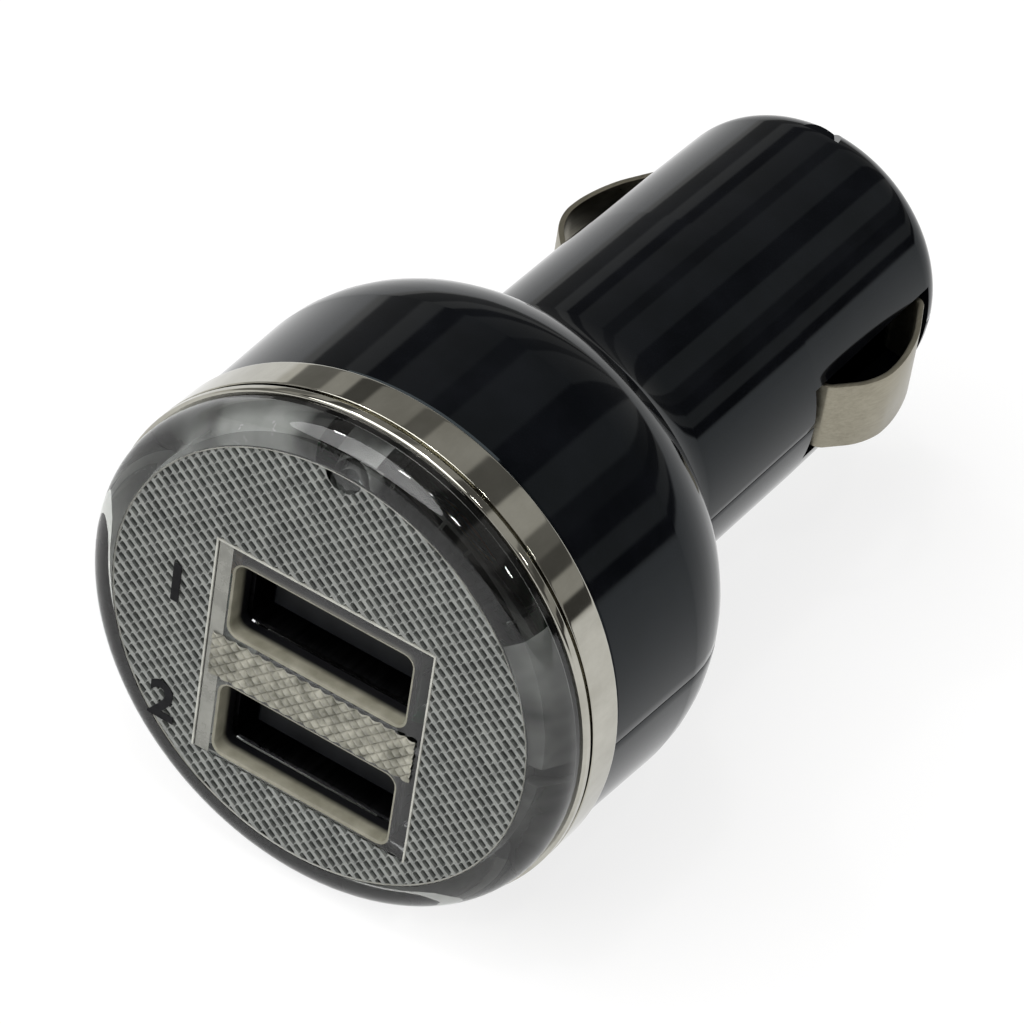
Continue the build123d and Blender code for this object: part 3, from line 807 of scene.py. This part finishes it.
def faceLines():
    wide, high = sheetTrim["lineW"], sheetTrim["lineH"]
    edgeR = lens["discR"]
    bm = turned((edgeR - wide, faceY + high), [
        (edgeR - wide, faceY + wide / 2),
        (edgeR - wide / 2, faceY),
        (edgeR, faceY + wide / 2),
        (edgeR, faceY + high),
    ])
    # Pale liner on the window's left side
    addBlock(bm, sheetTrim["linerX"], (frameY - sheetTrim["linerT"], frameY), frameZ)
    for face in bm.faces:
        face.material_index = linerMark
    before = set(bm.faces)
    y = (faceY, faceY + lens["discDepth"])
    for x in windowX:
        addBlock(bm, (x - wide / 2, x + wide / 2), y, (frameZ[0], frameZ[1] + wide / 2))
    addBlock(bm, (windowX[0] + wide / 2, windowX[1] - wide / 2), y,
             (frameZ[1] - wide / 2, frameZ[1] + wide / 2))
    for face in set(bm.faces) - before:
        face.material_index = lineMark
    return bm


finishPiece("scaleSheet", scaleSheet(), "housing", [cellRim, cellWallPaintedShade, cellPitPaintedShade])
finishPiece("beadSheet", beadSheet(), "housing", [beadRim])
finishPiece("faceLines", faceLines(), "housing", [lineGrey, linerGrey])


# Plain port numbers printed on the face

numeral = dict(height=2.8, digitShare=0.7, x=-10.5, drop=1.2, thick=0.02, weight=0.10, signs=("1", "2"))


def printedNumber(sign, z):
    curve = bpy.data.curves.new("sign", "FONT")
    curve.body = sign
    curve.align_x, curve.align_y = "CENTER", "CENTER"
    curve.size = numeral["height"] / numeral["digitShare"]      # a digit fills a share of the type size
    curve.extrude = numeral["thick"]
    curve.offset = numeral["weight"]
    holder = bpy.data.objects.new("sign", curve)
    bpy.context.scene.collection.objects.link(holder)
    made = bpy.data.meshes.new_from_object(holder.evaluated_get(bpy.context.evaluated_depsgraph_get()))
    bm = bmesh.new()
    bm.from_mesh(made)
    bpy.data.objects.remove(holder)
    bpy.data.curves.remove(curve)
    bpy.data.meshes.remove(made)
    bmesh.ops.rotate(bm, cent=(0, 0, 0), matrix=Matrix.Rotation(pi / 2, 3, "X"), verts=bm.verts)
    bmesh.ops.translate(bm, vec=(numeral["x"], faceY, z - numeral["drop"]), verts=bm.verts)
    closeUp(bm)
    return bm


for sign, z in zip(numeral["signs"], portHeights):
    finishPiece("number" + sign, printedNumber(sign, z), "housing", [printInk])


# Side spring strips, bent from sheet

strip = dict(thick=0.4, foot=1.0, backFoot=0.8, rise=0.6, ramp=2.7, crown=4.6, fall=0.1, backDrop=0.4,
             edge=0.07, bends=(0.6, 0.8, 4.5, 11.0, 0.8, 0.4), bendSteps=10)


def sideStrip(side):
    bm = bmesh.new()
    half = strip["thick"] / 2
    footX = contactLow.x + half
    crownX = contactHigh.x - half
    barrelR = barrel["r_mm"]
    frontY, backY = contactLow.y + half, contactHigh.y - half
    footY = frontY + strip["foot"] + half
    rampY = footY + strip["rise"]
    crownY = rampY + strip["ramp"]
    slopeY = backY - strip["backFoot"]
    path = [
        (footX, frontY),
        (footX, footY),
        (barrelR - half, rampY),
        (crownX, crownY),
        (crownX - strip["fall"], crownY + strip["crown"]),
        (barrelR - strip["thick"], slopeY - strip["backDrop"]),
        (footX, slopeY),
        (footX, backY),
    ]
    tip = bm.verts.new((*path[0], contactLow.z))
    for point in path[1:]:
        tip = bmesh.ops.extrude_vert_indiv(bm, verts=[tip])["verts"][0]
        tip.co = (*point, contactLow.z)
    raised = bmesh.ops.extrude_edge_only(bm, edges=bm.edges[:])["geom"]
    bmesh.ops.translate(bm, vec=(0, 0, contactHigh.z - contactLow.z), verts=vertsOf(raised))
    for (before, at, after), radius in zip(zip(path, path[1:], path[2:]), strip["bends"]):
        into, out = Vector(at) - Vector(before), Vector(after) - Vector(at)
        crease = [e for e in bm.edges if all((v.co.xy - Vector(at)).length < near for v in e.verts)]
        bevelEdges(bm, crease, radius * tan(into.angle(out) / 2), strip["bendSteps"])
    closeUp(bm)
    bmesh.ops.solidify(bm, geom=bm.faces[:], thickness=strip["thick"])
    bmesh.ops.recalc_face_normals(bm, faces=bm.faces)
    shift = contactHigh.x - max(v.co.x for v in bm.verts)
    bmesh.ops.translate(bm, vec=(shift, 0, 0), verts=bm.verts)
    rims = [e for e in bm.edges if e.calc_face_angle(0) > creaseAngle]
    bevelEdges(bm, rims, strip["edge"])
    if side < 0:
        bmesh.ops.scale(bm, vec=(-1, 1, 1), verts=bm.verts)
        bmesh.ops.recalc_face_normals(bm, faces=bm.faces)
    return bm


for name, side in (("right", 1), ("left", -1)):
    finishPiece(name + "Strip", sideStrip(side), name + "_contact", [satinNickel],
                ["side_contact_" + name])


# Sprung tip and its coil

plunger = dict(domeR=3.2, flangeT=2.0, noseR=1.8, noseLen=1.6, edge=0.15)
spring = dict(wireR=0.35, wireSides=10, turns=5, turnSteps=28, travelKeep=0.8)


def tipPin():
    flangeR = tipHigh.x
    noseY = tipLow.y
    flangeY = noseY + plunger["noseLen"]
    backY = flangeY + plunger["flangeT"]
    edge = plunger["edge"]
    return turned((0, noseY), [
        (plunger["noseR"] - edge, noseY),
        (plunger["noseR"] - edge, noseY + edge, 90),
        (plunger["noseR"], flangeY),
        (flangeR - edge, flangeY),
        (flangeR - edge, flangeY + edge, 90),
        (flangeR, backY - edge),
        (flangeR - edge, backY - edge, 90),
        (plunger["domeR"], backY),
        (plunger["domeR"], tipHigh.y - plunger["domeR"]),
        (0, tipHigh.y - plunger["domeR"], 90),
    ], closed=False)


def tipSpring():
    bm = bmesh.new()
    wireR = spring["wireR"]
    coilR = springHigh.x - wireR
    startY, endY = springLow.y + wireR, springHigh.y - wireR
    steps = spring["turns"] * spring["turnSteps"]
    made = bmesh.ops.create_circle(bm, cap_ends=True, segments=spring["wireSides"], radius=wireR)["verts"]
    bmesh.ops.translate(bm, vec=(coilR, startY, 0), verts=made)
    bmesh.ops.spin(bm, geom=bm.verts[:] + bm.edges[:] + bm.faces[:], cent=(0, 0, 0), axis=(0, 1, 0),
                   dvec=(0, (endY - startY) / steps, 0), angle=2 * pi * spring["turns"], steps=steps)
    closeUp(bm)
    return bm


finishPiece("tipPin", tipPin(), "tip", [satinNickel], ["tip_contact"])
coil = finishPiece("tipCoil", tipSpring(), "housing", [springSteel], ["tip_spring"])
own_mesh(coil)


# Floor, light and camera

floor = dict(size=6.0, colour=(0.95, 0.95, 0.95, 1.0), lift=0.80)


def floorMaterial():
    material, tree, shader = startMaterial("paleFloor", {"Roughness": 0.9, "Base Color": floor["colour"]})
    rays = addNode(tree, "ShaderNodeLightPath").outputs
    seen = addNode(tree, "ShaderNodeMath", {"operation": "ADD"},
                   links={0: rays["Is Camera Ray"], 1: rays["Is Glossy Ray"]})
    through = addNode(tree, "ShaderNodeMath", {"operation": "ADD", "use_clamp": True},
                      links={0: seen.outputs[0], 1: rays["Is Transmission Ray"]})
    share = addNode(tree, "ShaderNodeMath", {"operation": "MULTIPLY"}, {1: floor["lift"]},
                    {0: through.outputs[0]})
    white = addNode(tree, "ShaderNodeEmission", values={"Color": (1, 1, 1, 1), "Strength": 1.0})
    both = addNode(tree, "ShaderNodeMixShader", links={
        0: share.outputs[0], 1: shader.outputs[0], 2: white.outputs[0]})
    tree.links.new(both.outputs[0], tree.nodes["Material Output"].inputs["Surface"])
    return material


floorMesh = bpy.data.meshes.new("floor")
floorBm = bmesh.new()
bmesh.ops.create_grid(floorBm, x_segments=1, y_segments=1, size=floor["size"])
bmesh.ops.translate(floorBm, vec=(0, 0, cadLow.z), verts=floorBm.verts)
floorBm.to_mesh(floorMesh)
floorBm.free()
floorMesh.materials.append(floorMaterial())
floorObject = bpy.data.objects.new("floor", floorMesh)
bpy.context.scene.collection.objects.link(floorObject)

# The sky's tone changes with the turn about the plug's axis, so that its bars lie along the barrel.
# Low down it is a white wall.
sky = dict(
    bars=((7, 0.60), (15.5, 0.07), (25.5, 0.45), (35.5, 0.11), (45.5, 0.20), (62.5, 0.50), (80, 0.13),
          (102, 0.40), (112, 0.19), (132, 0.34), (142, 0.10), (152, 0.47), (168, 0.22), (180, 0.75)),
    soft=1.4, warm=(1.0, 0.985, 0.94), wall=(0.06, 0.10), white=(1.0, 1.0, 1.0, 1.0))
world = bpy.data.worlds.new("studio")
bpy.context.scene.world = world
world.use_nodes = True
skyTree = world.node_tree
direction = addNode(skyTree, "ShaderNodeTexCoord").outputs["Generated"]
axes = addNode(skyTree, "ShaderNodeSeparateXYZ", links={0: direction}).outputs
around = addNode(skyTree, "ShaderNodeMath", {"operation": "ARCTAN2"}, links={0: axes["Z"], 1: axes["X"]})
share = addNode(skyTree, "ShaderNodeMath", {"operation": "DIVIDE"}, {1: pi}, {0: around.outputs[0]})
ramp = addNode(skyTree, "ShaderNodeValToRGB", links={0: share.outputs[0]})
stops = []
for (end, tone), (_, after) in zip(sky["bars"], sky["bars"][1:]):
    stops += [(end - sky["soft"] / 2, tone), (end + sky["soft"] / 2, after)]
while len(ramp.color_ramp.elements) < len(stops):
    ramp.color_ramp.elements.new(0.5)      # its place is set below
for element, (angle, tone) in zip(ramp.color_ramp.elements, stops):
    element.position = radians(angle) / pi
    element.color = (*(tone * c for c in sky["warm"]), 1)
wallFull, wallEnd = sky["wall"]
lowDown = addNode(skyTree, "ShaderNodeMapRange", links={"Value": axes["Z"]}, values={
    "From Min": wallFull, "From Max": wallEnd, "To Min": 1.0, "To Max": 0.0})
walled = mixTones(skyTree, lowDown.outputs[0], ramp.outputs[0], sky["white"])
skyTree.links.new(walled, skyTree.nodes["Background"].inputs["Color"])

key = dict(towards=(-0.28, -0.50, 0.82), strength=2.95, angle=radians(60))
sun = bpy.data.lights.new("keySun", "SUN")
sun.energy = key["strength"]
sun.angle = key["angle"]
sunObject = bpy.data.objects.new("keySun", sun)
bpy.context.scene.collection.objects.link(sunObject)
sunObject.rotation_euler = (-Vector(key["towards"])).to_track_quat("-Z", "Y").to_euler()

lamps = dict(distance=0.6, size=0.045, watts=0.27,
             towards=((-0.03, -0.26, 0.96), (-0.48, -0.10, 0.87), (0.71, 0.30, 0.64), (0.35, -0.35, 0.87)))
for number, towards in enumerate(lamps["towards"]):
    light = bpy.data.lights.new(f"softbox{number}", "AREA")
    light.size = lamps["size"]
    light.energy = lamps["watts"]
    lampObject = bpy.data.objects.new(f"softbox{number}", light)
    bpy.context.scene.collection.objects.link(lampObject)
    lampObject.location = Vector(towards).normalized() * lamps["distance"]
    lampObject.rotation_euler = (-Vector(towards)).to_track_quat("-Z", "Y").to_euler()

shot = dict(azimuth=27.987, elevation=39.593, roll=9.415, distance=386.2, lens=218.1, sensor=36.0,
            target=(0, -7, 0), aside=0.314, below=0.433, clipStart=0.01)
az, el, roll = (radians(shot[k]) for k in ("azimuth", "elevation", "roll"))
back = Vector((sin(az) * cos(el), -cos(az) * cos(el), sin(el)))
level = Vector((cos(az), sin(az), 0))
upright = back.cross(level)
right = level * cos(roll) + upright * sin(roll)
up = upright * cos(roll) - level * sin(roll)
aim = Vector(shot["target"]) + right * shot["aside"] - up * shot["below"]
cameraData = bpy.data.cameras.new("camera")
cameraData.lens = shot["lens"]
cameraData.sensor_width = shot["sensor"]
cameraData.clip_start = shot["clipStart"]
camera = bpy.data.objects.new("camera", cameraData)
bpy.context.scene.collection.objects.link(camera)
pose = Matrix((right, up, back)).transposed().to_4x4()
pose.translation = (aim + back * shot["distance"]) * mm
camera.matrix_world = pose
bpy.context.scene.camera = camera
bpy.context.scene.view_settings.view_transform = "Standard"
print("stage ready")
